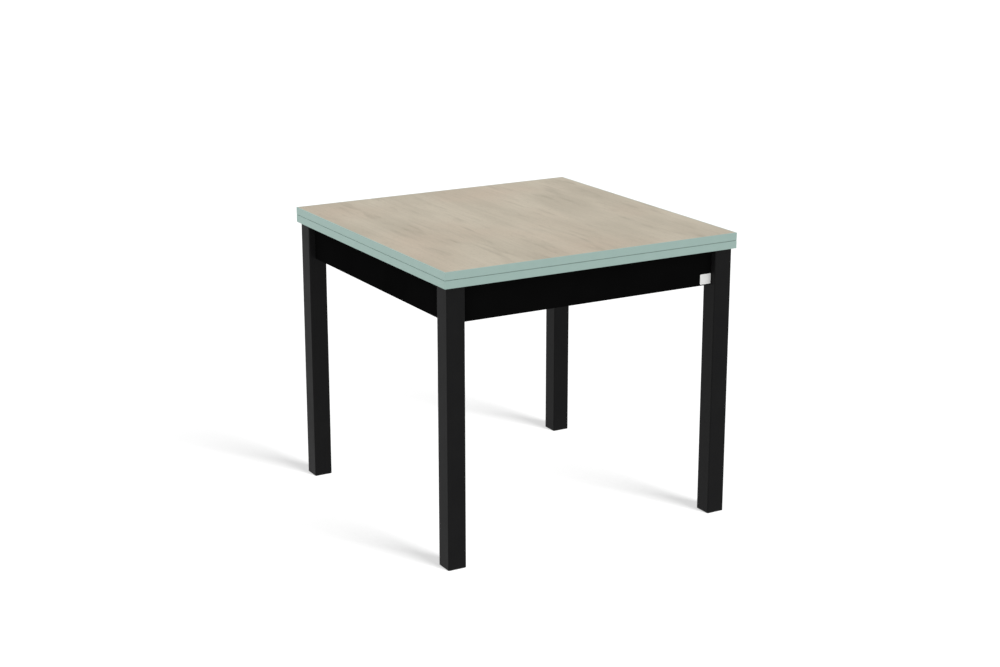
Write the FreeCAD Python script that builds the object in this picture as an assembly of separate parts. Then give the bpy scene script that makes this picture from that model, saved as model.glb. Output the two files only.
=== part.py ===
import FreeCAD, Part
import math
import os

# Swivel extending table, in millimetres. Two square leaves lie folded on a frame with four legs. The
# folded top turns a quarter on an off-centre pivot, and the upper leaf then opens like a book on hinges
# with two pins and a link. The origin is on the floor under the middle of the folded top. +Z is up and
# -Y is the front.

Vector = FreeCAD.Vector
ORIGIN = Vector(0, 0, 0)
X_AXIS = Vector(1, 0, 0)
Y_AXIS = Vector(0, 1, 0)
Z_AXIS = Vector(0, 0, 1)

# Folded top
top_side = 850.0
table_height = 760.0
leaf_thickness = 20.0
edge_band = 3.0
edge_arris = 0.8
top_corner_radius = 1.5

# Legs, which stand inside the edge of the top
top_overhang = 9.0
leg_side = 50.0
leg_wall = 2.0
leg_radius = 3.0
leg_bore_radius = 1.0

# Caps pressed into the leg tubes
plug_wall = 2.5
plug_radius = 1.5
plug_clearance = 0.2
foot_flange = 4.0
foot_bevel = 1.0
foot_plug_depth = 20.0
cap_flange = 3.0
cap_plug_depth = 16.0

# Aprons, set back from the legs' outer faces
apron_height = 92.0
apron_thickness = 19.0
apron_setback = 18.0
apron_arris = 0.8

# Glide buttons on the frame, which the top slides on
glide_radius = 8.0
glide_height = 2.3
glide_arris = 0.5
glide_stem_radius = 3.0
glide_stem_depth = 8.0

# Corner joints: a bracket across two aprons, and bolts into a nut block in the leg
bracket_gap = 25.0
bracket_flange = 35.0
bracket_thickness = 2.0
bracket_height = 60.0
bracket_bend_radius = 5.0
bracket_end_radius = 5.0
bracket_screw_pitch = 36.0
nut_block_side = 26.0
nut_block_height = 48.0
nut_block_chamfer = 1.5
nut_block_drop = 2.0
leg_bolt_radius = 4.0
leg_bolt_reach = 14.0
leg_bolt_pitch = 28.0
leg_bolt_head_flats = 13.0
leg_bolt_head_height = 5.3
leg_washer_radius = 8.0
leg_washer_thickness = 1.6

# Wood screws in the brackets, the rail and the hinges
screw_head_radius = 3.5
screw_shank_radius = 1.75
screw_length = 14.0
screw_point_share = 1.6
screw_tip_share = 0.25
recess_arm_share = 0.6
recess_slot_share = 0.2
recess_depth_share = 0.7

# Cross rail that carries the pivot
rail_width = 60.0
rail_height = 30.0
rail_wall = 2.0
rail_radius = 4.0
rail_bore_radius = 2.0
rail_plate_drop = 34.0
rail_plate_thickness = 3.0
rail_screw_pitch = 36.0
rail_screw_rise = 14.0

# Pivot and its stop
pivot_radius = 8.0
pivot_head_radius = 14.0
pivot_head_height = 4.0
pivot_thread_radius = 6.0
pivot_thread_end = 2.0
bush_wall = 2.0
bush_flange_radius = 15.0
bush_flange = 2.0
thrust_radius = 30.0
thrust_thickness = 2.0
thrust_bore_clearance = 0.3
stop_pin_radius = 4.0
stop_pin_gap = 6.0
stop_pin_head_radius = 6.5
stop_pin_head_height = 2.0
stop_pin_top_gap = 0.5
stop_slot_clearance = 0.3
swivel_angle = 90.0

# Swivel plate under the lower leaf
plate_thickness = 4.0
plate_land = 4.0
plate_screw_head_radius = 4.0
plate_screw_shank_radius = 2.0
plate_screw_length = 15.0
plate_screw_count = 6
plate_recess_clearance = 0.5

# Washer, disc spring and lock nut under the rail
pivot_washer_radius = 16.0
pivot_washer_thickness = 2.5
pivot_washer_clearance = 0.3
spring_radius = 8.8
spring_thickness = 1.2
spring_rise = 0.8
lock_nut_flats = 18.0
lock_nut_height = 9.0
lock_nut_collar_radius = 8.2
lock_nut_collar_height = 3.0

# Hinges with slotted links, let into the meeting faces of the leaves
hinge_inset_share = 0.14
hinge_plate_width = 32.0
hinge_plate_length = 42.0
hinge_plate_thickness = 3.0
hinge_plate_radius = 5.0
hinge_pin_radius = 1.5
hinge_screw_across_share = 0.28
hinge_near_row_share = 0.42
hinge_far_row_share = 0.78
link_width = 14.0
link_spacing = 6.2
knuckle_clearance = 0.5
fold_gap = 0.9
seam_gap = 0.8

# Buffers on the lower leaf that the folded upper leaf rests on
buffer_radius = 5.0
buffer_arris = 0.2
buffer_inset = 30.0

# Blank tag at the right end of the front apron
tag_width = 33.0
tag_height = 27.0
tag_thickness = 0.6
tag_radius = 2.0
tag_gap = 1.0
tag_lift = 3.0

# Clearances of fixed pieces in their holes, turning pins, sliding faces, links and plates in their pockets
fit_clearance = 0.05
running_clearance = 0.05
slide_clearance = 0.1
bolt_hole_clearance = 0.5
link_side_clearance = 0.3
link_pocket_clearance = 0.4
mortise_clearance = 0.15
cut_overrun = 5.0

# Levels from the top of the table down
half_top = top_side / 2
core_half = half_top - edge_band
upper_bottom = table_height - leaf_thickness
lower_top = upper_bottom - fold_gap
lower_bottom = lower_top - leaf_thickness
fold_plane = (upper_bottom + lower_top) / 2
frame_top = lower_bottom - slide_clearance - glide_height
apron_bottom = frame_top - apron_height
leg_top = frame_top - cap_flange

# Plan of the frame, as distances from the middle
frame_half = half_top - top_overhang
leg_centre = frame_half - leg_side / 2
leg_inner = frame_half - leg_side
leg_bore = leg_side - 2 * leg_wall
apron_outer = frame_half - apron_setback
apron_inner = apron_outer - apron_thickness

# The leg joint sits under the top cap's plug. Its bolts lie on the diagonal of the corner.
joint_level = leg_top - cap_plug_depth - nut_block_drop - nut_block_height / 2
inward = Vector(-1, -1, 0).normalize()
diagonal = math.sqrt(2)

# The pivot puts the seam of the opened top over the middle of the frame.
pivot_offset = (top_side + seam_gap) / 4
plate_bottom = lower_bottom - plate_thickness
rail_top = plate_bottom - slide_clearance - thrust_thickness
rail_bottom = rail_top - rail_height
shoulder_end = rail_bottom - bush_flange - slide_clearance
bush_radius = pivot_radius + running_clearance + bush_wall
stop_radius = thrust_radius + stop_pin_gap + stop_pin_radius
stop_slot_half = stop_pin_radius + stop_slot_clearance
plate_screw_circle = stop_radius + stop_slot_half + plate_land + plate_screw_head_radius
plate_radius = plate_screw_circle + plate_screw_head_radius + plate_land

# Hinge pins, from the edge of the leaf and under its meeting face, so that both gaps come out right
pin_setback = (link_spacing - seam_gap) / 2
pin_depth = (link_spacing - fold_gap) / 2
pin_y = half_top - pin_setback
pin_z = lower_top - pin_depth
knuckle_radius = link_spacing / 2 - knuckle_clearance
# As the leaf opens about the seam and the link turns half as far, the upper pin slides along the link.
slot_travel = link_spacing * (diagonal - 1)
link_reach = slot_travel + knuckle_radius
link_pocket_back = pin_y - link_reach - link_pocket_clearance
link_pocket_floor = pin_z - link_reach - link_pocket_clearance
hinge_end_x = half_top - top_side * hinge_inset_share
hinge_places = (-hinge_end_x, 0, hinge_end_x)

# A corner piece is made at the rear right and a side piece at the rear, and each is turned in quarters.
corners = ("rear_right", "rear_left", "front_left", "front_right")
sides = ("rear", "left", "front", "right")
quarter_turn = 90.0
parallel_share = 0.999


def block(low, high):
    """Box between two opposite corners."""
    size = high - low
    return Part.makeBox(size.x, size.y, size.z, low)


def cylinder(radius, base, along):
    """Round bar from a point along a vector."""
    return Part.makeCylinder(radius, along.Length, base, along)


def ring(outer_radius, inner_radius, base, along):
    """Round bar with a hole through it."""
    return cylinder(outer_radius, base, along).cut(cylinder(inner_radius, base, along))


def prism(points, along):
    """Straight bar on a closed outline."""
    outline = Part.makePolygon(points + points[:1])
    return Part.Face(outline).extrude(along)


def hexagon_bar(flats, height):
    """Hexagon bar standing on the origin."""
    radius = flats / math.sqrt(3)
    angles = [math.radians(60 * corner) for corner in range(6)]
    points = [Vector(radius * math.cos(angle), radius * math.sin(angle), 0) for angle in angles]
    return prism(points, Vector(0, 0, height))


def edges_along(solid, axis):
    """Straight edges that run along an axis."""
    return [
        edge
        for edge in solid.Edges
        if isinstance(edge.Curve, Part.Line) and abs(edge.Curve.Direction.dot(axis)) > parallel_share
    ]


def face_edges(solid, outward):
    """Edges round the flat faces that look one way."""
    return [
        edge
        for face in solid.Faces
        if face.normalAt(0, 0).dot(outward) > parallel_share
        for edge in face.Edges
    ]


def rounded_square(side, radius, low, high):
    """Square bar with rounded uprights, centred on the Z axis."""
    half = side / 2
    bar = block(Vector(-half, -half, low), Vector(half, half, high))
    return bar.makeFillet(radius, edges_along(bar, Z_AXIS))


def placed(solid, position, outward):
    """Copy of a solid made at the origin facing +Z, moved to a place and turned to face outward."""
    copy = solid.copy()
    copy.Placement = FreeCAD.Placement(position, FreeCAD.Rotation(Z_AXIS, outward))
    return copy


def quarter_turned(solid, quarters):
    """Copy of a solid turned about the middle of the table."""
    copy = solid.copy()
    copy.rotate(ORIGIN, Z_AXIS, quarter_turn * quarters)
    return copy


def all_round(solids):
    """The solids of one corner or side, repeated at the other three."""
    return [quarter_turned(solid, quarters) for quarters in range(len(corners)) for solid in solids]


def folded_over(solid):
    """Mirror image of a lower leaf's piece in the upper leaf."""
    return solid.mirror(Vector(0, 0, fold_plane), Z_AXIS)


def at_pivot(level):
    """Point on the swivel axis."""
    return Vector(pivot_offset, pivot_offset, level)


def on_diagonal(distance, level):
    """Point on the rear right corner's diagonal, measured inward from the leg's inner corner."""
    return Vector(leg_inner, leg_inner, level) + inward * distance


def wood_screw(head_radius, shank_radius, length):
    """Countersunk cross-head screw with its head face at the origin and its point down."""
    head_height = head_radius - shank_radius
    point_height = shank_radius * screw_point_share
    screw = Part.makeCone(shank_radius, head_radius, head_height, Vector(0, 0, -head_height))
    shank_bottom = Vector(0, 0, point_height - length)
    screw = screw.fuse(cylinder(shank_radius, shank_bottom, -shank_bottom))
    tip_radius = shank_radius * screw_tip_share
    screw = screw.fuse(Part.makeCone(tip_radius, shank_radius, point_height, Vector(0, 0, -length)))
    arm = head_radius * recess_arm_share
    slot = head_radius * recess_slot_share
    depth = head_height * recess_depth_share
    for half_x, half_y in ((arm, slot), (slot, arm)):
        screw = screw.cut(block(Vector(-half_x, -half_y, -depth), Vector(half_x, half_y, depth)))
    return screw


def screw_hole(head_radius, shank_radius, length):
    """Cutter for a wood screw, clear of it by the fit."""
    head_height = head_radius - shank_radius
    wide = head_radius + fit_clearance
    narrow = shank_radius + fit_clearance
    cutter = Part.makeCone(narrow, wide, head_height, Vector(0, 0, -head_height))
    cutter = cutter.fuse(cylinder(narrow, ORIGIN, Vector(0, 0, -length - fit_clearance)))
    return cutter.fuse(cylinder(wide, ORIGIN, Vector(0, 0, cut_overrun)))


def leg():
    """Square steel tube with two bolt holes through its inner corner."""
    tube = rounded_square(leg_side, leg_radius, foot_flange, leg_top)
    tube = tube.cut(rounded_square(leg_bore, leg_bore_radius, 0, frame_top))
    tube.translate(Vector(leg_centre, leg_centre, 0))
    hole_radius = leg_bolt_radius + bolt_hole_clearance
    holes = [
        cylinder(hole_radius, on_diagonal(cut_overrun, level), inward * -(cut_overrun + leg_side / 2))
        for level in bolt_levels
    ]
    return tube.cut(holes)


def cap_plug(low, high, hollow_low, hollow_high):
    """Hollow square plug of a leg cap."""
    side = leg_bore - 2 * plug_clearance
    plug = rounded_square(side, plug_radius, low, high)
    hollow_side = side - 2 * plug_wall
    hollow = hollow_side / 2
    return plug.cut(block(Vector(-hollow, -hollow, hollow_low), Vector(hollow, hollow, hollow_high)))


def foot_cap():
    """Moulded foot: a flange as wide as the leg, bevelled at the floor, on a plug in the tube."""
    flange = rounded_square(leg_side, leg_radius, 0, foot_flange)
    flange = flange.makeChamfer(foot_bevel, face_edges(flange, -Z_AXIS))
    plug_top = foot_flange + foot_plug_depth
    cap = flange.fuse(cap_plug(foot_flange, plug_top, foot_flange, plug_top + cut_overrun))
    cap.translate(Vector(leg_centre, leg_centre, 0))
    return cap


def top_cap():
    """Moulded cap that closes the leg under the top and holds a glide button."""
    flange = rounded_square(leg_side, leg_radius, leg_top, frame_top)
    plug_bottom = leg_top - cap_plug_depth
    cap = flange.fuse(cap_plug(plug_bottom, leg_top, plug_bottom - cut_overrun, leg_top))
    cap.translate(Vector(leg_centre, leg_centre, 0))
    return cap


def glide_button(x, y):
    """Nylon button with a stem pressed into the frame."""
    head = cylinder(glide_radius, Vector(x, y, frame_top), Vector(0, 0, glide_height))
    head = head.makeFillet(glide_arris, face_edges(head, Z_AXIS))
    return head.fuse(cylinder(glide_stem_radius, Vector(x, y, frame_top), Vector(0, 0, -glide_stem_depth)))


def glide_hole(x, y):
    """Cutter for a glide button's stem."""
    depth = glide_stem_depth + fit_clearance
    base = Vector(x, y, frame_top - depth)
    return cylinder(glide_stem_radius + fit_clearance, base, Vector(0, 0, depth + cut_overrun))


def apron():
    """Faced board between the two rear legs."""
    low = Vector(-leg_inner, apron_inner, apron_bottom)
    board = block(low, Vector(leg_inner, apron_outer, frame_top))
    return board.makeFillet(apron_arris, edges_along(board, X_AXIS))


def bracket_former(face, bend, end, radius):
    """Block with a rounded cut across its corner, which one side of a bracket is bent round."""
    outline = [(end, end), (end, face), (bend, face), (face, bend), (face, end)]
    low = joint_level - bracket_height / 2
    former = prism([Vector(x, y, low) for x, y in outline], Vector(0, 0, bracket_height))
    uprights = sorted(edges_along(former, Z_AXIS), key=lambda edge: edge.CenterOfMass.dot(inward))
    return former.makeFillet(radius, uprights[:2])


def corner_bracket():
    """Pressed steel strip: a flange with rounded corners on each apron and a web across the corner."""
    bend = 2 * leg_inner - bracket_gap * diagonal - apron_inner
    end = bend - bracket_flange
    inner_face = apron_inner - bracket_thickness
    inner_bend = bend - bracket_thickness * (diagonal - 1)
    strip = bracket_former(apron_inner, bend, end, bracket_bend_radius + bracket_thickness)
    strip = strip.cut(bracket_former(inner_face, inner_bend, end, bracket_bend_radius))
    level_edges = edges_along(strip, X_AXIS) + edges_along(strip, Y_AXIS)
    end_edges = [edge for edge in level_edges if edge.Length < bracket_flange / 2]
    strip = strip.makeFillet(bracket_end_radius, end_edges)
    hole_radius = leg_bolt_radius + bolt_hole_clearance
    holes = [
        cylinder(hole_radius, on_diagonal(bracket_gap - cut_overrun, level), inward * (2 * cut_overrun))
        for level in bolt_levels
    ]
    return strip.cut(holes + corner_screw_holes)


def corner_screw_places():
    """Head places and facings of one bracket's four screws."""
    along = 2 * leg_inner - bracket_gap * diagonal - apron_inner - bracket_flange / 2
    face = apron_inner - bracket_thickness
    levels = [joint_level + bracket_screw_pitch / 2 * way for way in (-1, 1)]
    rear = [(Vector(along, face, level), -Y_AXIS) for level in levels]
    right = [(Vector(face, along, level), -X_AXIS) for level in levels]
    return rear + right


def nut_block():
    """Tapped steel block welded into the leg's inner corner."""
    wall = leg_inner + leg_wall
    far = wall + nut_block_side
    near = wall + nut_block_chamfer
    low = joint_level - nut_block_height / 2
    outline = [Vector(x, y, low) for x, y in ((near, wall), (far, wall), (wall, far), (wall, near))]
    hole_radius = leg_bolt_radius + fit_clearance
    holes = [cylinder(hole_radius, on_diagonal(0, level), inward * -leg_side) for level in bolt_levels]
    return prism(outline, Vector(0, 0, nut_block_height)).cut(holes)


def leg_bolt(level):
    """Hexagon bolt from the bracket's web into the nut block."""
    under_head = bracket_gap + bracket_thickness + leg_washer_thickness
    bolt = hexagon_bar(leg_bolt_head_flats, leg_bolt_head_height)
    bolt = bolt.fuse(cylinder(leg_bolt_radius, ORIGIN, Vector(0, 0, -under_head - leg_bolt_reach)))
    return placed(bolt, on_diagonal(under_head, level), inward)


def leg_washer(level):
    """Plain washer under a leg bolt's head."""
    washer = ring(
        leg_washer_radius,
        leg_bolt_radius + bolt_hole_clearance,
        ORIGIN,
        Vector(0, 0, leg_washer_thickness),
    )
    return placed(washer, on_diagonal(bracket_gap + bracket_thickness, level), inward)


def rail_screw_places():
    """Head places and facings of the screws in the rail's end plates, under the tube."""
    across = rail_screw_pitch / 2
    middle = rail_bottom - rail_plate_drop / 2
    face = apron_inner - rail_plate_thickness
    half_rise = rail_screw_rise / 2
    return [
        (Vector(pivot_offset + across * way, face * end, middle + half_rise * row), -Y_AXIS * end)
        for end in (-1, 1)
        for way in (-1, 1)
        for row in (-1, 1)
    ]


def pivot_rail():
    """Rectangular steel tube between the front and rear aprons, with a rounded plate welded on each end."""
    half = rail_width / 2
    left = pivot_offset - half
    right = pivot_offset + half
    rail = block(Vector(left, -apron_inner, rail_bottom), Vector(right, apron_inner, rail_top))
    rail = rail.makeFillet(rail_radius, edges_along(rail, Y_AXIS))
    hollow_low = Vector(left + rail_wall, -apron_inner, rail_bottom + rail_wall)
    hollow = block(hollow_low, Vector(right - rail_wall, apron_inner, rail_top - rail_wall))
    rail = rail.cut(hollow.makeFillet(rail_bore_radius, edges_along(hollow, Y_AXIS)))
    for end in (-1, 1):
        plate_y = sorted((apron_inner * end, (apron_inner - rail_plate_thickness) * end))
        low = Vector(left, plate_y[0], rail_bottom - rail_plate_drop)
        plate = block(low, Vector(right, plate_y[1], rail_top))
        rail = rail.fuse(plate.makeFillet(rail_radius, edges_along(plate, Y_AXIS)))
    bush_hole = cylinder(bush_radius + fit_clearance, at_pivot(rail_bottom - cut_overrun),
                         Vector(0, 0, rail_height + 2 * cut_overrun))
    pin_hole = cylinder(stop_pin_radius + fit_clearance, stop_point(rail_top - rail_wall),
                        Vector(0, 0, rail_wall + cut_overrun))
    return rail.cut([bush_hole, pin_hole] + rail_screw_holes)


def stop_point(level):
    """Point on the stop pin's axis, in front of the pivot."""
    return at_pivot(level) - Y_AXIS * stop_radius


def stop_pin():
    """Steel pin riveted into the rail's upper wall, standing in the swivel plate's slot."""
    seat = rail_top - rail_wall
    head = cylinder(stop_pin_head_radius, stop_point(seat), Vector(0, 0, -stop_pin_head_height))
    return head.fuse(cylinder(stop_pin_radius, stop_point(seat),
                              Vector(0, 0, lower_bottom - stop_pin_top_gap - seat)))


def pivot_bush():
    """Flanged nylon bush through the rail, which the pivot bolt turns in."""
    bush = cylinder(bush_radius, at_pivot(rail_top), Vector(0, 0, -rail_height))
    bush = bush.fuse(cylinder(bush_flange_radius, at_pivot(rail_bottom), Vector(0, 0, -bush_flange)))
    bore = Vector(0, 0, -rail_height - bush_flange)
    return bush.cut(cylinder(pivot_radius + running_clearance, at_pivot(rail_top), bore))


def thrust_washer():
    """Nylon disc on the rail that the swivel plate slides on."""
    bore_radius = pivot_radius + thrust_bore_clearance
    return ring(thrust_radius, bore_radius, at_pivot(rail_top), Vector(0, 0, thrust_thickness))


def plate_screw_places():
    """Head places of the swivel plate's screws, spaced evenly round it."""
    step = math.radians(360 / plate_screw_count)
    angles = [step * (number + 1 / 2) for number in range(plate_screw_count)]
    return [
        at_pivot(plate_bottom) + Vector(math.cos(angle), math.sin(angle), 0) * plate_screw_circle
        for angle in angles
    ]


def swivel_plate():
    """Round steel plate under the lower leaf, with a quarter-circle slot for the stop pin."""
    through = Vector(0, 0, plate_thickness)
    plate = ring(plate_radius, pivot_radius + fit_clearance, at_pivot(plate_bottom), through)
    outer = stop_radius + stop_slot_half
    inner = stop_radius - stop_slot_half
    sectors = [
        Part.makeCylinder(radius, plate_thickness, at_pivot(plate_bottom), Z_AXIS, swivel_angle)
        for radius in (outer, inner)
    ]
    slot = sectors[0].cut(sectors[1])
    slot.rotate(at_pivot(plate_bottom), Z_AXIS, 2 * swivel_angle)
    end = cylinder(stop_slot_half, stop_point(plate_bottom), through)
    start = end.copy()
    start.rotate(at_pivot(plate_bottom), Z_AXIS, -swivel_angle)
    return plate.cut([slot, start, end] + plate_screw_holes)


def pivot_bolt():
    """Shouldered bolt with a low head in the leaf, turning in the bush."""
    bolt = cylinder(pivot_head_radius, at_pivot(lower_bottom), Vector(0, 0, pivot_head_height))
    shank = Vector(0, 0, shoulder_end - lower_bottom)
    bolt = bolt.fuse(cylinder(pivot_radius, at_pivot(lower_bottom), shank))
    thread = pivot_washer_thickness + spring_thickness + spring_rise + lock_nut_height
    thread += lock_nut_collar_height + pivot_thread_end
    return bolt.fuse(cylinder(pivot_thread_radius, at_pivot(shoulder_end), Vector(0, 0, -thread)))


def pivot_washer():
    """Plain washer against the bolt's shoulder."""
    bore_radius = pivot_thread_radius + pivot_washer_clearance
    down = Vector(0, 0, -pivot_washer_thickness)
    return ring(pivot_washer_radius, bore_radius, at_pivot(shoulder_end), down)


def disc_spring():
    """Coned spring washer that keeps the nut tight."""
    top = shoulder_end - pivot_washer_thickness
    inner = pivot_thread_radius + pivot_washer_clearance
    section = [
        Vector(inner, 0, top),
        Vector(spring_radius, 0, top - spring_rise),
        Vector(spring_radius, 0, top - spring_rise - spring_thickness),
        Vector(inner, 0, top - spring_thickness),
    ]
    spring = Part.Face(Part.makePolygon(section + section[:1])).revolve(ORIGIN, Z_AXIS, 360)
    spring.translate(at_pivot(0))
    return spring


def lock_nut():
    """Hexagon nut with a collar that grips the thread."""
    top = shoulder_end - pivot_washer_thickness - spring_rise - spring_thickness
    nut = hexagon_bar(lock_nut_flats, lock_nut_height)
    nut = nut.fuse(cylinder(lock_nut_collar_radius, Vector(0, 0, lock_nut_height),
                            Vector(0, 0, lock_nut_collar_height)))
    bore = Vector(0, 0, lock_nut_height + lock_nut_collar_height)
    nut = nut.cut(cylinder(pivot_thread_radius + fit_clearance, ORIGIN, bore))
    return placed(nut, at_pivot(top), -Z_AXIS)


def leaf_form():
    """Outer form of the lower leaf, with a small arris round both faces."""
    form = rounded_square(top_side, top_corner_radius, lower_bottom, lower_top)
    return form.makeFillet(edge_arris, face_edges(form, Z_AXIS) + face_edges(form, -Z_AXIS))


def hinge_plate_outline(x, grow, low, high):
    """Bar on a hinge plate's outline, its far corners rounded, from the leaf's edge inward."""
    half = hinge_plate_width / 2 + grow
    back = half_top - hinge_plate_length - grow
    bar = block(Vector(x - half, back, low), Vector(x + half, half_top + cut_overrun, high))
    far_edges = [edge for edge in edges_along(bar, Z_AXIS) if edge.CenterOfMass.y < pin_y]
    return bar.makeFillet(hinge_plate_radius + grow, far_edges)


def hinge_mortise(x):
    """Cutter for a hinge plate, deeper at the edge for the ears and the link."""
    floor = lower_top - hinge_plate_thickness
    pocket = hinge_plate_outline(x, mortise_clearance, floor, lower_top + cut_overrun)
    half = hinge_plate_width / 2 + mortise_clearance
    slot_low = Vector(x - half, link_pocket_back - mortise_clearance, link_pocket_floor)
    slot_high = Vector(x + half, half_top + cut_overrun, lower_top + cut_overrun)
    return pocket.fuse(block(slot_low, slot_high))


def hinge_screw_places(x):
    """Head places of one plate's three screws."""
    across = hinge_plate_width * hinge_screw_across_share
    near = half_top - hinge_plate_length * hinge_near_row_share
    far = half_top - hinge_plate_length * hinge_far_row_share
    return [Vector(x + offset, y, lower_top) for offset, y in ((-across, near), (across, near), (0, far))]


def hinge_plate(x):
    """Flush plate with an ear each side of the link, bored for the pin."""
    floor = lower_top - hinge_plate_thickness
    plate = hinge_plate_outline(x, 0, floor, lower_top)
    waste_low = Vector(x - hinge_plate_width, link_pocket_back, floor)
    waste_high = Vector(x + hinge_plate_width, half_top + 2 * cut_overrun, lower_top)
    plate = plate.cut(block(waste_low, waste_high))
    ear_start = link_width / 2 + link_side_clearance
    ear_width = hinge_plate_width / 2 - ear_start
    for left in (x - hinge_plate_width / 2, x + ear_start):
        back = Vector(left, link_pocket_back, pin_z - knuckle_radius)
        ear = block(back, Vector(left + ear_width, pin_y, lower_top))
        ear = ear.fuse(cylinder(knuckle_radius, Vector(left, pin_y, pin_z), X_AXIS * ear_width))
        plate = plate.fuse(ear)
    return plate.cut([hinge_pin_bar(x, hinge_pin_radius + fit_clearance)] + hinge_screw_holes)


def hinge_pin_bar(x, radius):
    """Round bar on a lower hinge pin's axis, as long as the plate is wide."""
    return cylinder(radius, Vector(x - hinge_plate_width / 2, pin_y, pin_z), X_AXIS * hinge_plate_width)


def hinge_link(x):
    """Short link on the lower pin, with a slot for the upper one. Folded, it stands upright in the edge."""
    left = x - link_width / 2
    slot_low = pin_z + link_spacing
    slot_high = slot_low + slot_travel
    low = Vector(left, pin_y - knuckle_radius, pin_z)
    link = block(low, Vector(left + link_width, pin_y + knuckle_radius, slot_high))
    for level in (pin_z, slot_high):
        link = link.fuse(cylinder(knuckle_radius, Vector(left, pin_y, level), X_AXIS * link_width))
    half_slot = hinge_pin_radius + running_clearance
    bore = hinge_pin_bar(x, half_slot)
    slot_start = Vector(left, pin_y - half_slot, slot_low)
    slot = block(slot_start, Vector(left + link_width, pin_y + half_slot, slot_high))
    slot_ends = [folded_over(bore), folded_over(bore).translated(Z_AXIS * slot_travel)]
    return link.cut([bore, slot] + slot_ends)


def leaf_boxes():
    """Where the board and its four edge bands lie in a leaf."""
    outer = half_top + cut_overrun
    areas = {
        "board": (-core_half, -core_half, core_half, core_half),
        "edge_front": (-outer, -outer, outer, -core_half),
        "edge_rear": (-outer, core_half, outer, outer),
        "edge_left": (-outer, -core_half, -core_half, core_half),
        "edge_right": (core_half, -core_half, outer, core_half),
    }
    return {
        name: block(Vector(x0, y0, lower_bottom - cut_overrun), Vector(x1, y1, lower_top + cut_overrun))
        for name, (x0, y0, x1, y1) in areas.items()
    }


def leaf_buffer():
    """Thin round buffer stuck on the lower leaf near its rear right corner."""
    place = half_top - buffer_inset
    height = fold_gap - slide_clearance
    disc = cylinder(buffer_radius, Vector(place, place, lower_top), Vector(0, 0, height))
    return disc.makeFillet(buffer_arris, face_edges(disc, Z_AXIS))


def blank_tag():
    """Plain tag stuck on the front apron."""
    right = leg_inner - tag_gap
    bottom = apron_bottom + tag_lift
    low = Vector(right - tag_width, -apron_outer - tag_thickness, bottom)
    tag = block(low, Vector(right, -apron_outer, bottom + tag_height))
    return tag.makeFillet(tag_radius, edges_along(tag, Y_AXIS))


def write(name, solids):
    """Write a node, which is one solid or a group of like ones."""
    shape = solids[0] if len(solids) == 1 else Part.makeCompound(solids)
    shape.exportStep("parts/" + name + ".step")


os.makedirs("parts", exist_ok=True)

# Screws and their holes, shared by the pieces that they join
bolt_levels = [joint_level + leg_bolt_pitch / 2 * way for way in (-1, 1)]
small_screw = wood_screw(screw_head_radius, screw_shank_radius, screw_length)
small_hole = screw_hole(screw_head_radius, screw_shank_radius, screw_length)
plate_screw = wood_screw(plate_screw_head_radius, plate_screw_shank_radius, plate_screw_length)
plate_hole = screw_hole(plate_screw_head_radius, plate_screw_shank_radius, plate_screw_length)
corner_screw_holes = [placed(small_hole, *place) for place in corner_screw_places()]
rail_screw_holes = [placed(small_hole, *place) for place in rail_screw_places()]
plate_screw_holes = [placed(plate_hole, place, -Z_AXIS) for place in plate_screw_places()]
hinge_screw_spots = [place for x in hinge_places for place in hinge_screw_places(x)]
hinge_screw_holes = [placed(small_hole, place, Z_AXIS) for place in hinge_screw_spots]

# Legs, caps and brackets, one of each at every corner
corner_pieces = {
    "leg": leg(),
    "foot_cap": foot_cap(),
    "top_cap": top_cap().cut(glide_hole(leg_centre, leg_centre)),
    "bracket": corner_bracket(),
}
for piece_name, piece in corner_pieces.items():
    for quarters, corner_name in enumerate(corners):
        write(piece_name + "_" + corner_name, [quarter_turned(piece, quarters)])

# Aprons, one on every side
apron_middle = (apron_inner + apron_outer) / 2
apron_cuts = all_round([glide_hole(0, apron_middle)] + corner_screw_holes) + rail_screw_holes
for quarters, side_name in enumerate(sides):
    write("apron_" + side_name, [quarter_turned(apron(), quarters).cut(apron_cuts)])

# What ties the frame together
write("glide_buttons", all_round([glide_button(leg_centre, leg_centre), glide_button(0, apron_middle)]))
write("bracket_screws", all_round([placed(small_screw, *place) for place in corner_screw_places()]))
write("leg_nut_blocks", all_round([nut_block()]))
write("leg_bolts", all_round([leg_bolt(level) for level in bolt_levels]))
write("leg_washers", all_round([leg_washer(level) for level in bolt_levels]))
write("blank_tag", [blank_tag()])

# Pivot on the frame
write("pivot_rail", [pivot_rail()])
write("rail_screws", [placed(small_screw, *place) for place in rail_screw_places()])
write("pivot_bush", [pivot_bush()])
write("thrust_washer", [thrust_washer()])
write("stop_pin", [stop_pin()])

# Pivot on the lower leaf
write("swivel_plate", [swivel_plate()])
write("swivel_plate_screws", [placed(plate_screw, place, -Z_AXIS) for place in plate_screw_places()])
write("pivot_bolt", [pivot_bolt()])
write("pivot_washer", [pivot_washer()])
write("disc_spring", [disc_spring()])
write("lock_nut", [lock_nut()])

# The two leaves, alike but for the pivot's recess in the lower one
leaf = leaf_form()
leaf_cuts = [hinge_mortise(x) for x in hinge_places] + hinge_screw_holes
recess_radius = pivot_head_radius + plate_recess_clearance
recess_depth = pivot_head_height + plate_recess_clearance
pivot_recess = cylinder(recess_radius, at_pivot(lower_bottom), Vector(0, 0, recess_depth))
for piece_name, area in leaf_boxes().items():
    piece = leaf.common(area).cut(leaf_cuts)
    write("lower_leaf_" + piece_name, [piece.cut([pivot_recess] + plate_screw_holes)])
    write("upper_leaf_" + piece_name, [folded_over(piece)])

# Buffers that hold the folded leaves apart
write("leaf_buffers", all_round([leaf_buffer()]))

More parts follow.
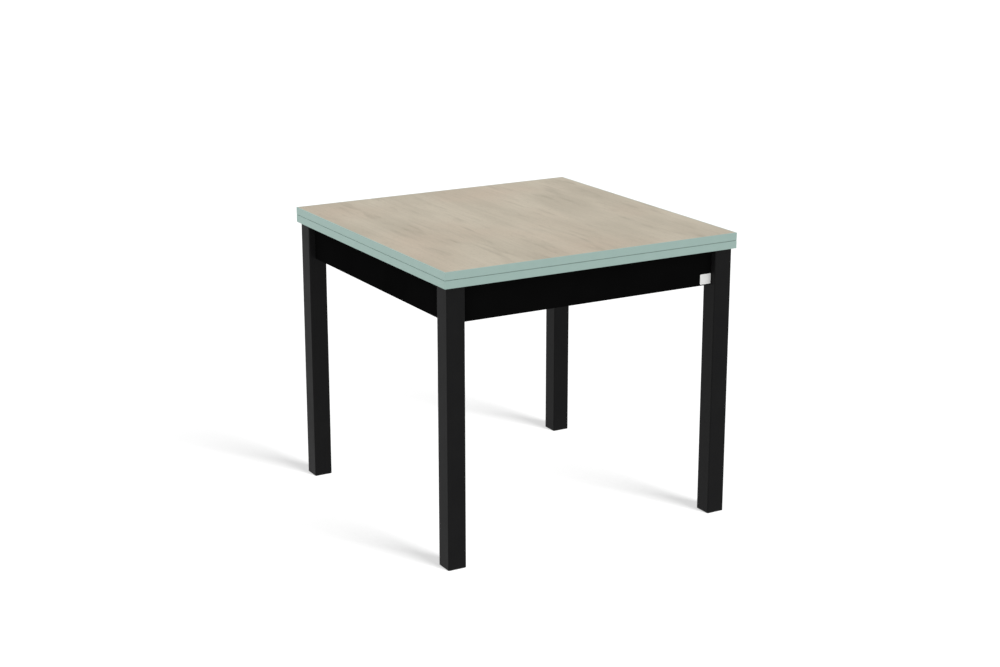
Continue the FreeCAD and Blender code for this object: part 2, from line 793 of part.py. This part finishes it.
# Hinges
hinge_pieces = {
    "hinge_plates": [hinge_plate(x) for x in hinge_places],
    "hinge_pins": [hinge_pin_bar(x, hinge_pin_radius) for x in hinge_places],
    "hinge_screws": [placed(small_screw, place, Z_AXIS) for place in hinge_screw_spots],
}
for piece_name, pieces in hinge_pieces.items():
    write("lower_" + piece_name, pieces)
    write("upper_" + piece_name, [folded_over(piece) for piece in pieces])
write("hinge_links", [hinge_link(x) for x in hinge_places])
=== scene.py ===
import math

import bmesh
import bpy
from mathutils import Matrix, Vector


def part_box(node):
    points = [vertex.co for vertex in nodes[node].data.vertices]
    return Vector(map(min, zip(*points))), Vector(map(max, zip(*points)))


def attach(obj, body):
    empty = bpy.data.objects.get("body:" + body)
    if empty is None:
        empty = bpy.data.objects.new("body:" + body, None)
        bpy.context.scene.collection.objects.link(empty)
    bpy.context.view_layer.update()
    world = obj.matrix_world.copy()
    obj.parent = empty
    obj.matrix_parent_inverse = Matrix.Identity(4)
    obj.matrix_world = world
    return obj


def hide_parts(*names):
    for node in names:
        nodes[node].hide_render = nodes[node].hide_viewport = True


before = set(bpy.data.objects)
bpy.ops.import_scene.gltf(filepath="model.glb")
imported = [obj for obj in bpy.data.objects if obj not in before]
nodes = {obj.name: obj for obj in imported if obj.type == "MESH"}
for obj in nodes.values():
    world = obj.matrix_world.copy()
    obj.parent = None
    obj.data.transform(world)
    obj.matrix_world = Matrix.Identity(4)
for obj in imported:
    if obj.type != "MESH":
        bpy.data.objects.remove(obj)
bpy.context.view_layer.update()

# Legs
# Four square steel tubes, 50 mm wide with 2 mm walls, sawn to length and sprayed with black lacquer.
# Each is pulled into its corner of the frame by two bolts.
leg_corners = ("front_left", "front_right", "rear_left", "rear_right")


def linear(hex_colour):
    """Linear colour of an sRGB hex value."""
    shares = [int(hex_colour[place:place + 2], 16) / 255 for place in (1, 3, 5)]
    shares = [s / 12.92 if s <= 0.04045 else ((s + 0.055) / 1.055) ** 2.4 for s in shares]
    return (*shares, 1.0)


def connect(tree, node, inputs):
    """Set a node's inputs. Each is a value, or another node's socket to link."""
    for socket, value in inputs.items():
        if isinstance(value, bpy.types.NodeSocket):
            tree.links.new(value, node.inputs[socket])
        else:
            node.inputs[socket].default_value = value


def add_node(tree, kind, inputs=None, **settings):
    """Add a node with its inputs and settings."""
    node = tree.nodes.new(kind)
    for setting, value in settings.items():
        setattr(node, setting, value)
    connect(tree, node, inputs or {})
    return node


def new_material(name):
    """Empty material with its node tree, its shader and the table's own coordinates in metres."""
    material = bpy.data.materials.new(name)
    material.use_nodes = True
    tree = material.node_tree
    place = add_node(tree, "ShaderNodeTexCoord").outputs["Object"]
    return material, tree, tree.nodes["Principled BSDF"], place


def dress(material, names):
    """Give solids of the frame a material."""
    for name in names:
        for slot in nodes[name].material_slots:
            slot.material = material


# A colour mix has its share, its two colours and its result at these sockets.
mix_share = 0
mix_from = 6
mix_to = 7
mix_result = 2

# Sprayed black lacquer on steel: nearly black, a soft satin gloss with the faint ripple of spraying.
# The ripple is about 1 mm on the real tube and is drawn at 3 mm so that it shows.
lacquer_ripple = 0.003
lacquer_cloud = 0.07
black_lacquer, tree, shader, place = new_material("black_lacquer_on_steel")
cloud = add_node(tree, "ShaderNodeTexNoise", {"Vector": place, "Scale": 1 / lacquer_cloud, "Detail": 3.0})
ripple = add_node(tree, "ShaderNodeTexNoise",
                  {"Vector": place, "Scale": 1 / lacquer_ripple, "Detail": 1.0})
tint = add_node(tree, "ShaderNodeMix",
                {mix_share: cloud.outputs["Fac"], mix_from: linear("#141415"), mix_to: linear("#1c1c1c")},
                data_type="RGBA")
gloss = add_node(tree, "ShaderNodeMapRange",
                 {"Value": cloud.outputs["Fac"], "From Min": 0.3, "From Max": 0.7,
                  "To Min": 0.36, "To Max": 0.46})
bump = add_node(tree, "ShaderNodeBump",
                {"Height": ripple.outputs["Fac"], "Strength": 0.12, "Distance": 0.0002})
connect(tree, shader, {"Base Color": tint.outputs[mix_result], "Roughness": gloss.outputs["Result"],
                       "Normal": bump.outputs["Normal"], "Specular IOR Level": 0.048})
dress(black_lacquer, ["leg_" + corner for corner in leg_corners])

# Foot caps and top caps
# Black polyethylene mouldings with hollow plugs, pressed into both ends of each leg. The foot's flange
# keeps the steel off the floor, and the top cap holds a glide button.

# Moulded polyethylene: a dull black with the fine spark-eroded grain of the mould, drawn at 1.5 mm.
mould_grain = 0.0015
black_moulding, tree, shader, place = new_material("moulded_black_polyethylene")
grain = add_node(tree, "ShaderNodeTexNoise", {"Vector": place, "Scale": 1 / mould_grain, "Detail": 2.0})
tint = add_node(tree, "ShaderNodeMix",
                {mix_share: grain.outputs["Fac"], mix_from: linear("#131313"), mix_to: linear("#1c1c1c")},
                data_type="RGBA")
bump = add_node(tree, "ShaderNodeBump",
                {"Height": grain.outputs["Fac"], "Strength": 0.25, "Distance": 0.0002})
connect(tree, shader, {"Base Color": tint.outputs[mix_result], "Normal": bump.outputs["Normal"],
                       "Roughness": 0.6, "Specular IOR Level": 0.12})
dress(black_moulding, ["foot_cap_" + corner for corner in leg_corners])
dress(black_moulding, ["top_cap_" + corner for corner in leg_corners])

# Aprons
# Four 19 mm particle boards faced and edged in black, cut square between the legs and set back from
# their outer faces. Brackets inside the corners hold them.
table_sides = ("front", "rear", "left", "right")

# Black melamine facing: almost no shine, pressed with a shallow pearl texture, drawn at 2.5 mm, over
# broad faint shades.
pearl_size = 0.0025
melamine_shade = 0.12
black_board, tree, shader, place = new_material("black_melamine_on_particle_board")
pearl = add_node(tree, "ShaderNodeTexVoronoi",
                 {"Vector": place, "Scale": 1 / pearl_size}, feature="SMOOTH_F1")
shade = add_node(tree, "ShaderNodeTexNoise",
                 {"Vector": place, "Scale": 1 / melamine_shade, "Detail": 3.0})
tint = add_node(tree, "ShaderNodeMix",
                {mix_share: shade.outputs["Fac"], mix_from: linear("#080808"), mix_to: linear("#0e0e0e")},
                data_type="RGBA")
bump = add_node(tree, "ShaderNodeBump",
                {"Height": pearl.outputs["Distance"], "Strength": 0.2, "Distance": 0.0003})
connect(tree, shader, {"Base Color": tint.outputs[mix_result], "Normal": bump.outputs["Normal"],
                       "Roughness": 0.75, "Specular IOR Level": 0.0})
dress(black_board, ["apron_" + side for side in table_sides])

# Corner brackets
# Strips of 2 mm steel with rounded ends, pressed to a flange on each apron and a web across the corner.
# Four countersunk screws hold each one to its two aprons.

# Zinc plate on steel: a cool grey metal, faintly clouded by the bath and finely scored by the rolls.
# The scores are 0.1 mm apart on the real sheet and are drawn 0.8 mm apart.
zinc_cloud = 0.012
zinc_score = 0.0008
zinc_steel, tree, shader, place = new_material("zinc_plated_steel")
cloud = add_node(tree, "ShaderNodeTexNoise", {"Vector": place, "Scale": 1 / zinc_cloud, "Detail": 4.0})
score = add_node(tree, "ShaderNodeTexNoise", {"Vector": place, "Scale": 1 / zinc_score, "Detail": 1.0})
tint = add_node(tree, "ShaderNodeMix",
                {mix_share: cloud.outputs["Fac"], mix_from: linear("#a9adb1"), mix_to: linear("#c4c7c9")},
                data_type="RGBA")
gloss = add_node(tree, "ShaderNodeMapRange",
                 {"Value": cloud.outputs["Fac"], "From Min": 0.3, "From Max": 0.7,
                  "To Min": 0.32, "To Max": 0.48})
bump = add_node(tree, "ShaderNodeBump",
                {"Height": score.outputs["Fac"], "Strength": 0.1, "Distance": 0.0001})
connect(tree, shader, {"Base Color": tint.outputs[mix_result], "Roughness": gloss.outputs["Result"],
                       "Normal": bump.outputs["Normal"], "Metallic": 1.0})
dress(zinc_steel, ["bracket_" + corner for corner in leg_corners])
dress(zinc_steel, ["bracket_screws"])

# Leg bolts, washers and nut blocks
# Two zinc plated M8 hexagon bolts with washers go through each bracket into a tapped steel block that is
# welded inside the leg. They pull the leg hard into its corner.
corner_signs = ((-1, -1), (1, -1), (-1, 1), (1, 1))
bolt_radius = 0.004
bolt_pitch = 0.00125
bolt_seat_to_leg = 0.0286
bolt_reach_in_leg = 0.014
bolt_head_height = 0.0053
bolt_head_flats = 0.013
bolt_spacing = 0.028
leg_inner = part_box("leg_rear_right")[0].x
bracket_low, bracket_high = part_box("bracket_rear_right")
joint_level = (bracket_low.z + bracket_high.z) / 2


def loft(bm, rings):
    """Skin a row of rings that have the same number of points, and close both ends."""
    loops = [[bm.verts.new(point) for point in ring] for ring in rings]
    for lower, upper in zip(loops, loops[1:]):
        for one in range(len(lower)):
            two = (one + 1) % len(lower)
            bm.faces.new((lower[one], lower[two], upper[two], upper[one]))
    bm.faces.new(loops[0][::-1])
    bm.faces.new(loops[-1])


def new_piece(bm, name, material, body, replaced=None):
    """Turn a finished mesh into a piece that rides on a body and may stand for a solid of the frame."""
    sharp_angle = math.radians(32)
    bmesh.ops.recalc_face_normals(bm, faces=bm.faces)
    mesh = bpy.data.meshes.new(name)
    bm.to_mesh(mesh)
    bm.free()
    mesh.polygons.foreach_set("use_smooth", [True] * len(mesh.polygons))
    mesh.set_sharp_from_angle(angle=sharp_angle)
    mesh.materials.append(material)
    piece = bpy.data.objects.new(name, mesh)
    bpy.context.scene.collection.objects.link(piece)
    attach(piece, body)
    if replaced:
        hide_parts(replaced)


def hexagon_rings(flats, low, high, points=48):
    """Rings of a hexagon head or nut whose corners are turned off at both faces."""
    chamfer = math.radians(30)
    turned_share = 0.96
    turned_radius = flats / 2 * turned_share
    rings = []
    for level, way, turned in ((low, 1, True), (low, 1, False), (high, -1, False), (high, -1, True)):
        ring = []
        for number in range(points):
            angle = 2 * math.pi * number / points
            wide = flats / 2 / math.cos((angle + math.pi / 6) % (math.pi / 3) - math.pi / 6)
            radius = turned_radius if turned else wide
            height = level if turned else level + way * (wide - turned_radius) * math.tan(chamfer)
            ring.append((radius * math.cos(angle), radius * math.sin(angle), height))
        rings.append(ring)
    return rings


def thread_rings(radius, pitch, low, high, points=24, steps=5):
    """Rings of a screw thread with a chamfered lower end."""
    depth_share = 0.6
    depth = pitch * depth_share
    count = int((high - low) / pitch * steps)
    rings = []
    for row in range(count + 1):
        level = low + (high - low) * row / count
        at_end = radius - depth + min(level - low, depth)
        ring = []
        for number in range(points):
            turn = (level / pitch - number / points) % 1.0
            reach = min(radius - depth * abs(2 * turn - 1), at_end)
            angle = 2 * math.pi * number / points
            ring.append((reach * math.cos(angle), reach * math.sin(angle), level))
        rings.append(ring)
    return rings


def set_along(rings, origin, axis):
    """Rings moved to an origin, with their heights along an axis."""
    turn = Vector((0, 0, 1)).rotation_difference(axis)
    return [[origin + turn @ Vector(point) for point in ring] for ring in rings]


bm = bmesh.new()
for sign_x, sign_y in corner_signs:
    inward = Vector((-sign_x, -sign_y, 0)).normalized()
    for level in (joint_level - bolt_spacing / 2, joint_level + bolt_spacing / 2):
        seat = Vector((leg_inner * sign_x, leg_inner * sign_y, level)) + inward * bolt_seat_to_leg
        loft(bm, set_along(hexagon_rings(bolt_head_flats, 0.0, bolt_head_height), seat, inward))
        thread = thread_rings(bolt_radius, bolt_pitch, -bolt_seat_to_leg - bolt_reach_in_leg, 0.0)
        loft(bm, set_along(thread, seat, inward))
new_piece(bm, "threaded_leg_bolts", zinc_steel, "frame", "leg_bolts")
dress(zinc_steel, ["leg_washers", "leg_nut_blocks"])

# Blank tag
# A small plain plate of white plastic at the right end of the front apron, punched from sheet with
# rounded corners and eased edges, and stuck on.
tag_bevel = 0.0002
tag_corner = 0.002

# Gloss white styrene sheet, very slightly clouded.
styrene_cloud = 0.012
white_tag, tree, shader, place = new_material("white_styrene")
cloud = add_node(tree, "ShaderNodeTexNoise", {"Vector": place, "Scale": 1 / styrene_cloud, "Detail": 2.0})
tint = add_node(tree, "ShaderNodeMix",
                {mix_share: cloud.outputs["Fac"], mix_from: linear("#e6e6e5"), mix_to: linear("#f4f4f3")},
                data_type="RGBA")
connect(tree, shader, {"Base Color": tint.outputs[mix_result], "Roughness": 0.35,
                       "Specular IOR Level": 0.2})


def rounded_outline(low, high, radius, steps=6):
    """Points round a rectangle with rounded corners, from its lower left and upper right corners."""
    corners = ((True, True), (False, True), (False, False), (True, False))
    outline = []
    for quarter, (right, upper) in enumerate(corners):
        across = high[0] - radius if right else low[0] + radius
        up = high[1] - radius if upper else low[1] + radius
        for step in range(steps + 1):
            angle = math.radians(90 * quarter + 90 * step / steps)
            outline.append((across + radius * math.cos(angle), up + radius * math.sin(angle)))
    return outline


low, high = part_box("blank_tag")
rings = []
for depth, inset in ((high.y, 0.0), (low.y + tag_bevel, 0.0), (low.y, tag_bevel)):
    outline = rounded_outline((low.x + inset, low.z + inset), (high.x - inset, high.z - inset),
                              tag_corner - inset)
    rings.append([(across, depth, up) for across, up in outline])
bm = bmesh.new()
loft(bm, rings)
new_piece(bm, "blank_tag_plate", white_tag, "frame", "blank_tag")

# Pivot rail
# A 60 by 30 mm steel tube from the front apron to the rear one, lacquered black, that carries the pivot of
# the swivelling top. A plate is welded on each end and drops below the tube for its screws.
rail_height = 0.03
rail_corner = 0.004
rail_plate_thickness = 0.003
weld_radius = 0.0022
weld_ripple = 0.004
weld_swell_share = 0.12
weld_steps = 60
weld_points = 8
dress(black_lacquer, ["pivot_rail"])
dress(zinc_steel, ["rail_screws"])

# A rippled bead of weld fills the corner between each plate and the tube's underside.
low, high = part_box("pivot_rail")
rail_bottom = high.z - rail_height
weld_start = low.x + rail_corner
weld_length = high.x - rail_corner - weld_start
bm = bmesh.new()
for plate_face, way in ((low.y + rail_plate_thickness, 1), (high.y - rail_plate_thickness, -1)):
    rings = []
    for step in range(weld_steps + 1):
        run = weld_length * step / weld_steps
        swell = weld_radius * (1 + weld_swell_share * math.sin(2 * math.pi * run / weld_ripple))
        ring = [(weld_start + run, plate_face, rail_bottom)]
        for number in range(weld_points + 1):
            angle = math.pi / 2 * number / weld_points
            out = way * swell * math.sin(angle)
            down = swell * math.cos(angle)
            ring.append((weld_start + run, plate_face + out, rail_bottom - down))
        rings.append(ring)
    loft(bm, rings)
new_piece(bm, "rail_weld_beads", black_lacquer, "frame")

# Pivot bush, thrust washer, stop pin and glide buttons
# The bush and the thrust washer are turned nylon and carry the bolt and the swivel plate. The steel stop
# pin is riveted into the rail. Nylon buttons pressed into top caps and aprons carry the sliding top.
dress(zinc_steel, ["stop_pin"])

# Natural nylon: a milky, slightly waxy off-white, a little uneven where the tool has cut it.
nylon_cloud = 0.006
natural_nylon, tree, shader, place = new_material("natural_nylon")
cloud = add_node(tree, "ShaderNodeTexNoise", {"Vector": place, "Scale": 1 / nylon_cloud, "Detail": 2.0})
tint = add_node(tree, "ShaderNodeMix",
                {mix_share: cloud.outputs["Fac"], mix_from: linear("#d6d1c3"), mix_to: linear("#e4e0d4")},
                data_type="RGBA")
bump = add_node(tree, "ShaderNodeBump",
                {"Height": cloud.outputs["Fac"], "Strength": 0.05, "Distance": 0.0002})
connect(tree, shader, {"Base Color": tint.outputs[mix_result], "Normal": bump.outputs["Normal"],
                       "Roughness": 0.42, "Specular IOR Level": 0.3})
dress(natural_nylon, ["glide_buttons", "pivot_bush", "thrust_washer"])

# Lower leaf
# A 20 mm particle board with a light oak decor pressed on both faces and a 3 mm edge band glued round it.
# Its upper face is let out for the hinges, and its lower face for the pivot bolt's head.

# Light oak decor under melamine: a pale grey beige with soft clouds and a faint blush, long fine grain
# along the leaf, short darker flecks in groups, and pores. Pores 0.3 mm wide are drawn 1.2 mm wide.
# A pattern's values are its width and length, the detail and start of its noise, the two levels of the
# noise that its mask rises between, and the share that it rises to.
oak_patterns = {
    "clouds": (0.11, 0.32, 2.0, 0.0, 0.3, 0.7, 1.0),
    "blush": (0.28, 0.28, 2.0, 3.7, 0.42, 0.75, 0.5),
    "grain": (0.006, 0.26, 3.0, 1.3, 0.4, 0.75, 0.25),
    "groups": (0.08, 0.2, 2.0, 8.1, 0.4, 0.62, 1.0),
    "flecks": (0.02, 0.13, 2.5, 5.9, 0.46, 0.74, 0.5),
    "pores": (0.0012, 0.016, 1.0, 2.2, 0.6, 0.72, 0.3),
}
oak_ground = "#c3b9a6"
oak_tints = {
    "clouds": "#b5ab98",
    "blush": "#c1ae9a",
    "grain": "#a79c8a",
    "flecks": "#968c7a",
    "pores": "#8f8572",
}
oak_board, tree, shader, place = new_material("oak_decor_on_particle_board")
masks = {}
for pattern, (width, length, detail, start, rise_low, rise_high, share) in oak_patterns.items():
    drawn = add_node(tree, "ShaderNodeMapping",
                     {"Vector": place, "Location": (start, start, 0.0),
                      "Scale": (1 / width, 1 / length, 1.0)})
    noise = add_node(tree, "ShaderNodeTexNoise",
                     {"Vector": drawn.outputs["Vector"], "Scale": 1.0, "Detail": detail})
    mask = add_node(tree, "ShaderNodeMapRange",
                    {"Value": noise.outputs["Fac"], "From Min": rise_low, "From Max": rise_high,
                     "To Max": share},
                    interpolation_type="SMOOTHSTEP")
    masks[pattern] = mask.outputs["Result"]
grouped = add_node(tree, "ShaderNodeMath", {0: masks["groups"], 1: masks["flecks"]}, operation="MULTIPLY")
masks["flecks"] = grouped.outputs["Value"]
oak = linear(oak_ground)
for pattern, colour in oak_tints.items():
    layered = add_node(tree, "ShaderNodeMix",
                       {mix_share: masks[pattern], mix_from: oak, mix_to: linear(colour)},
                       data_type="RGBA")
    oak = layered.outputs[mix_result]
bump = add_node(tree, "ShaderNodeBump",
                {"Height": masks["pores"], "Strength": 0.15, "Distance": 0.0002}, invert=True)
gloss = add_node(tree, "ShaderNodeMapRange", {"Value": masks["pores"], "To Min": 0.52, "To Max": 0.75})

# Inside the mortises, behind the decor, the pressed chips of the board show.
decor_thickness = 0.0003
chip_size = 0.002
low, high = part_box("lower_leaf_board")
core_share = 0.5 - decor_thickness / (high.z - low.z)
chips = add_node(tree, "ShaderNodeTexVoronoi", {"Vector": place, "Scale": 1 / chip_size})
chip = add_node(tree, "ShaderNodeSeparateColor", {"Color": chips.outputs["Color"]})
core = add_node(tree, "ShaderNodeMix",
                {mix_share: chip.outputs["Red"], mix_from: linear("#a4855c"), mix_to: linear("#c9ae85")},
                data_type="RGBA")
board_box = add_node(tree, "ShaderNodeTexCoord")
height = add_node(tree, "ShaderNodeSeparateXYZ", {"Vector": board_box.outputs["Generated"]})
inside = add_node(tree, "ShaderNodeMath",
                  {0: height.outputs["Z"], 1: 0.5, 2: core_share}, operation="COMPARE")
tint = add_node(tree, "ShaderNodeMix",
                {mix_share: inside.outputs["Value"], mix_from: oak, mix_to: core.outputs[mix_result]},
                data_type="RGBA")
connect(tree, shader, {"Base Color": tint.outputs[mix_result], "Normal": bump.outputs["Normal"],
                       "Roughness": gloss.outputs["Result"], "Specular IOR Level": 0.15})
dress(oak_board, ["lower_leaf_board"])

# Sea-green ABS edge band: an even satin plastic with a very fine extruded grain along the edge, drawn at
# 2 mm, and a little mottling.
edging_mottle = 0.03
edging_grain = 0.002
green_edging, tree, shader, place = new_material("sea_green_abs_edging")
mottle = add_node(tree, "ShaderNodeTexNoise",
                  {"Vector": place, "Scale": 1 / edging_mottle, "Detail": 3.0})
grain = add_node(tree, "ShaderNodeTexNoise", {"Vector": place, "Scale": 1 / edging_grain, "Detail": 1.0})
tint = add_node(tree, "ShaderNodeMix",
                {mix_share: mottle.outputs["Fac"], mix_from: linear("#9cb5ae"),
                 mix_to: linear("#a3bbb4")},
                data_type="RGBA")
bump = add_node(tree, "ShaderNodeBump",
                {"Height": grain.outputs["Fac"], "Strength": 0.08, "Distance": 0.0002})
connect(tree, shader, {"Base Color": tint.outputs[mix_result], "Normal": bump.outputs["Normal"],
                       "Roughness": 0.5, "Specular IOR Level": 0.15})
dress(green_edging, ["lower_leaf_edge_" + side for side in table_sides])

# Leaf buffers
# Four thin round buffers stuck on the lower leaf near its corners. The folded upper leaf rests on them,
# so that the two decors don't rub.

# Cast polyurethane: a milky half-clear rubber with a soft gloss and tiny bubbles, drawn at 0.6 mm.
bubble_size = 0.0006
clear_buffer, tree, shader, place = new_material("milky_polyurethane")
bubbles = add_node(tree, "ShaderNodeTexVoronoi", {"Vector": place, "Scale": 1 / bubble_size})
tint = add_node(tree, "ShaderNodeMix",
                {mix_share: bubbles.outputs["Distance"], mix_from: linear("#cfc7b5"),
                 mix_to: linear("#ddd7c8")},
                data_type="RGBA")
bump = add_node(tree, "ShaderNodeBump",
                {"Height": bubbles.outputs["Distance"], "Strength": 0.05, "Distance": 0.0001})
connect(tree, shader, {"Base Color": tint.outputs[mix_result], "Normal": bump.outputs["Normal"],
                       "Roughness": 0.3})
dress(clear_buffer, ["leaf_buffers"])

# Swivel plate, pivot bolt and lock nut
# A round steel plate screwed under the lower leaf, with a quarter-circle slot for the stop pin. The
# shouldered bolt turns in the bush, and a washer, a disc spring and a lock nut hold it under the rail.
pivot_radius = 0.008
pivot_shoulder_bevel = 0.0005
pivot_head_radius = 0.014
pivot_head_height = 0.004
pivot_head_bevel = 0.0008
pivot_thread_radius = 0.006
pivot_thread_pitch = 0.00175
pivot_thread_length = 0.0185
lock_nut_flats = 0.018
lock_nut_height = 0.009
lock_nut_collar_radius = 0.0082
lock_nut_collar_bevel = 0.0012
lock_nut_overlap = 0.0005
dress(zinc_steel, ["swivel_plate", "swivel_plate_screws", "pivot_washer", "disc_spring"])


def round_rings(profile, points=40):
    """Rings of a turned piece, from radii and heights."""
    angles = [2 * math.pi * number / points for number in range(points)]
    return [[(radius * math.cos(angle), radius * math.sin(angle), level) for angle in angles]
            for radius, level in profile]


low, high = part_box("pivot_bolt")
up = Vector((0, 0, 1))
pivot = Vector(((low.x + high.x) / 2, (low.y + high.y) / 2, 0))
shoulder = low.z + pivot_thread_length
head_bottom = high.z - pivot_head_height
shank = [
    (pivot_radius - pivot_shoulder_bevel, shoulder),
    (pivot_radius, shoulder + pivot_shoulder_bevel),
    (pivot_radius, head_bottom),
    (pivot_head_radius, head_bottom),
    (pivot_head_radius, high.z - pivot_head_bevel),
    (pivot_head_radius - pivot_head_bevel, high.z),
]
thread = thread_rings(pivot_thread_radius, pivot_thread_pitch, low.z, shoulder, points=32, steps=8)
bm = bmesh.new()
loft(bm, set_along(round_rings(shank), pivot, up))
loft(bm, set_along(thread, pivot, up))
new_piece(bm, "turned_pivot_bolt", zinc_steel, "lower_leaf", "pivot_bolt")

low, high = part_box("lock_nut")
nut_bottom = high.z - lock_nut_height
collar = [
    (lock_nut_collar_radius - lock_nut_collar_bevel, low.z),
    (lock_nut_collar_radius, low.z + lock_nut_collar_bevel),
    (lock_nut_collar_radius, nut_bottom + lock_nut_overlap),
]
bm = bmesh.new()
loft(bm, set_along(hexagon_rings(lock_nut_flats, nut_bottom, high.z), pivot, up))
loft(bm, set_along(round_rings(collar), pivot, up))
new_piece(bm, "chamfered_lock_nut", zinc_steel, "lower_leaf", "lock_nut")

# Hinges
# Three flush hinges let into the meeting faces. Each has a nickel plated plate with two ears in either
# leaf, and a short slotted link joins the plates' pins, so that nothing stands above the opened top.

# Nickel plate on steel: a warm bright metal, finely brushed across the plate. The brush marks are drawn
# 0.6 mm apart.
brush_gap = 0.0006
brush_length = 0.02
nickel_cloud = 0.01
nickel_hinge, tree, shader, place = new_material("nickel_plated_steel")
drawn = add_node(tree, "ShaderNodeMapping",
                 {"Vector": place, "Scale": (1 / brush_length, 1 / brush_gap, 1.0)})
brush = add_node(tree, "ShaderNodeTexNoise",
                 {"Vector": drawn.outputs["Vector"], "Scale": 1.0, "Detail": 1.0})
cloud = add_node(tree, "ShaderNodeTexNoise", {"Vector": place, "Scale": 1 / nickel_cloud, "Detail": 3.0})
tint = add_node(tree, "ShaderNodeMix",
                {mix_share: cloud.outputs["Fac"], mix_from: linear("#b9b3a8"), mix_to: linear("#cdc8be")},
                data_type="RGBA")
gloss = add_node(tree, "ShaderNodeMapRange",
                 {"Value": brush.outputs["Fac"], "From Min": 0.3, "From Max": 0.7,
                  "To Min": 0.24, "To Max": 0.4})
bump = add_node(tree, "ShaderNodeBump",
                {"Height": brush.outputs["Fac"], "Strength": 0.08, "Distance": 0.0001})
connect(tree, shader, {"Base Color": tint.outputs[mix_result], "Roughness": gloss.outputs["Result"],
                       "Normal": bump.outputs["Normal"], "Metallic": 1.0})
for leaf in ("lower", "upper"):
    dress(nickel_hinge, [leaf + "_hinge_" + fitting for fitting in ("plates", "pins", "screws")])
dress(nickel_hinge, ["hinge_links"])

# Upper leaf
# The same faced board and edge bands as the lower leaf, let out for the same hinges and folded face down
# on it. The hinges hold it at the rear, and it opens like a book.
dress(oak_board, ["upper_leaf_board"])
dress(green_edging, ["upper_leaf_edge_" + side for side in table_sides])

# Floor
# A plain white studio floor. To the camera it keeps only the soft shadows of the legs; as a light it
# throws an even white back up at the table, and metal sees it white.
# The glow and the sunlit shade add up to just over white, so that nothing but those shadows shows.
floor_half = 40.0
floor_glow = 0.655
floor_albedo = 0.06
floor_bounce = 0.88
floor_in_metal = 1.0
white = linear("#ffffff")

mesh = bpy.data.meshes.new("studio_floor")
floor_corners = [(x * floor_half, y * floor_half, 0) for x, y in ((-1, -1), (1, -1), (1, 1), (-1, 1))]
mesh.from_pydata(floor_corners, [], [(0, 1, 2, 3)])
floor = bpy.data.objects.new("studio_floor", mesh)
bpy.context.scene.collection.objects.link(floor)
white_floor = bpy.data.materials.new("white_studio_floor")
white_floor.use_nodes = True
tree = white_floor.node_tree
tree.nodes.clear()
ray = add_node(tree, "ShaderNodeLightPath")
glow = add_node(tree, "ShaderNodeEmission", {"Color": white, "Strength": floor_glow})
shade = add_node(tree, "ShaderNodeBsdfDiffuse",
                 {"Color": (floor_albedo, floor_albedo, floor_albedo, 1.0)})
seen = add_node(tree, "ShaderNodeAddShader", {0: glow.outputs["Emission"], 1: shade.outputs["BSDF"]})
mirrored = add_node(tree, "ShaderNodeMath",
                    {0: ray.outputs["Is Glossy Ray"], 1: ray.outputs["Is Transmission Ray"]},
                    operation="MAXIMUM")
strength = add_node(tree, "ShaderNodeMapRange",
                    {"Value": mirrored.outputs["Value"], "To Min": floor_bounce,
                     "To Max": floor_in_metal})
bounce = add_node(tree, "ShaderNodeEmission", {"Color": white, "Strength": strength.outputs["Result"]})
surface = add_node(tree, "ShaderNodeMixShader",
                   {0: ray.outputs["Is Camera Ray"], 1: bounce.outputs["Emission"],
                    2: seen.outputs["Shader"]})
add_node(tree, "ShaderNodeOutputMaterial", {"Surface": surface.outputs["Shader"]})
mesh.materials.append(white_floor)

# Light
# An even white sky lights the table. A low soft sun from the front right lights only the floor and is
# shaded only by the legs, so that each leg leaves a short soft streak behind it.
sky_strength = 1.0
streak_light = 58.0
sun_height_degrees = 22.0
sun_round_degrees = 19.0
sun_width_degrees = 29.0

sun = bpy.data.lights.new("floor_sun", "SUN")
sun.energy = streak_light
sun.angle = math.radians(sun_width_degrees)
sun_object = bpy.data.objects.new("floor_sun", sun)
bpy.context.scene.collection.objects.link(sun_object)
sun_tilt = math.radians(90 - sun_height_degrees)
sun_object.rotation_euler = (sun_tilt, 0, math.radians(sun_round_degrees))
lit_by_sun = bpy.data.collections.new("lit_by_floor_sun")
lit_by_sun.objects.link(floor)
sun_object.light_linking.receiver_collection = lit_by_sun
shaded_by = bpy.data.collections.new("legs_that_shade_the_floor")
for corner in leg_corners:
    shaded_by.objects.link(nodes["leg_" + corner])
    shaded_by.objects.link(nodes["foot_cap_" + corner])
sun_object.light_linking.blocker_collection = shaded_by

world = bpy.data.worlds.new("white_studio")
world.use_nodes = True
sky = world.node_tree.nodes["Background"]
connect(world.node_tree, sky, {"Color": white, "Strength": sky_strength})
bpy.context.scene.world = world
bpy.context.scene.view_settings.view_transform = "Standard"

# Camera
# It stands at the front left, a little over a metre above the top, and looks down at the table through a
# short telephoto lens.
camera_place = (-2.4649, -4.2274, 1.8385)
camera_dip_degrees = 15.873
camera_turn_degrees = 29.933
camera_lens_mm = 68.241
camera_film_mm = 36.0

camera = bpy.data.cameras.new("photo_camera")
camera.lens = camera_lens_mm
camera.sensor_width = camera_film_mm
camera_object = bpy.data.objects.new("photo_camera", camera)
bpy.context.scene.collection.objects.link(camera_object)
camera_object.location = camera_place
camera_tilt = math.radians(90 - camera_dip_degrees)
camera_object.rotation_euler = (camera_tilt, 0, math.radians(-camera_turn_degrees))
bpy.context.scene.camera = camera_object
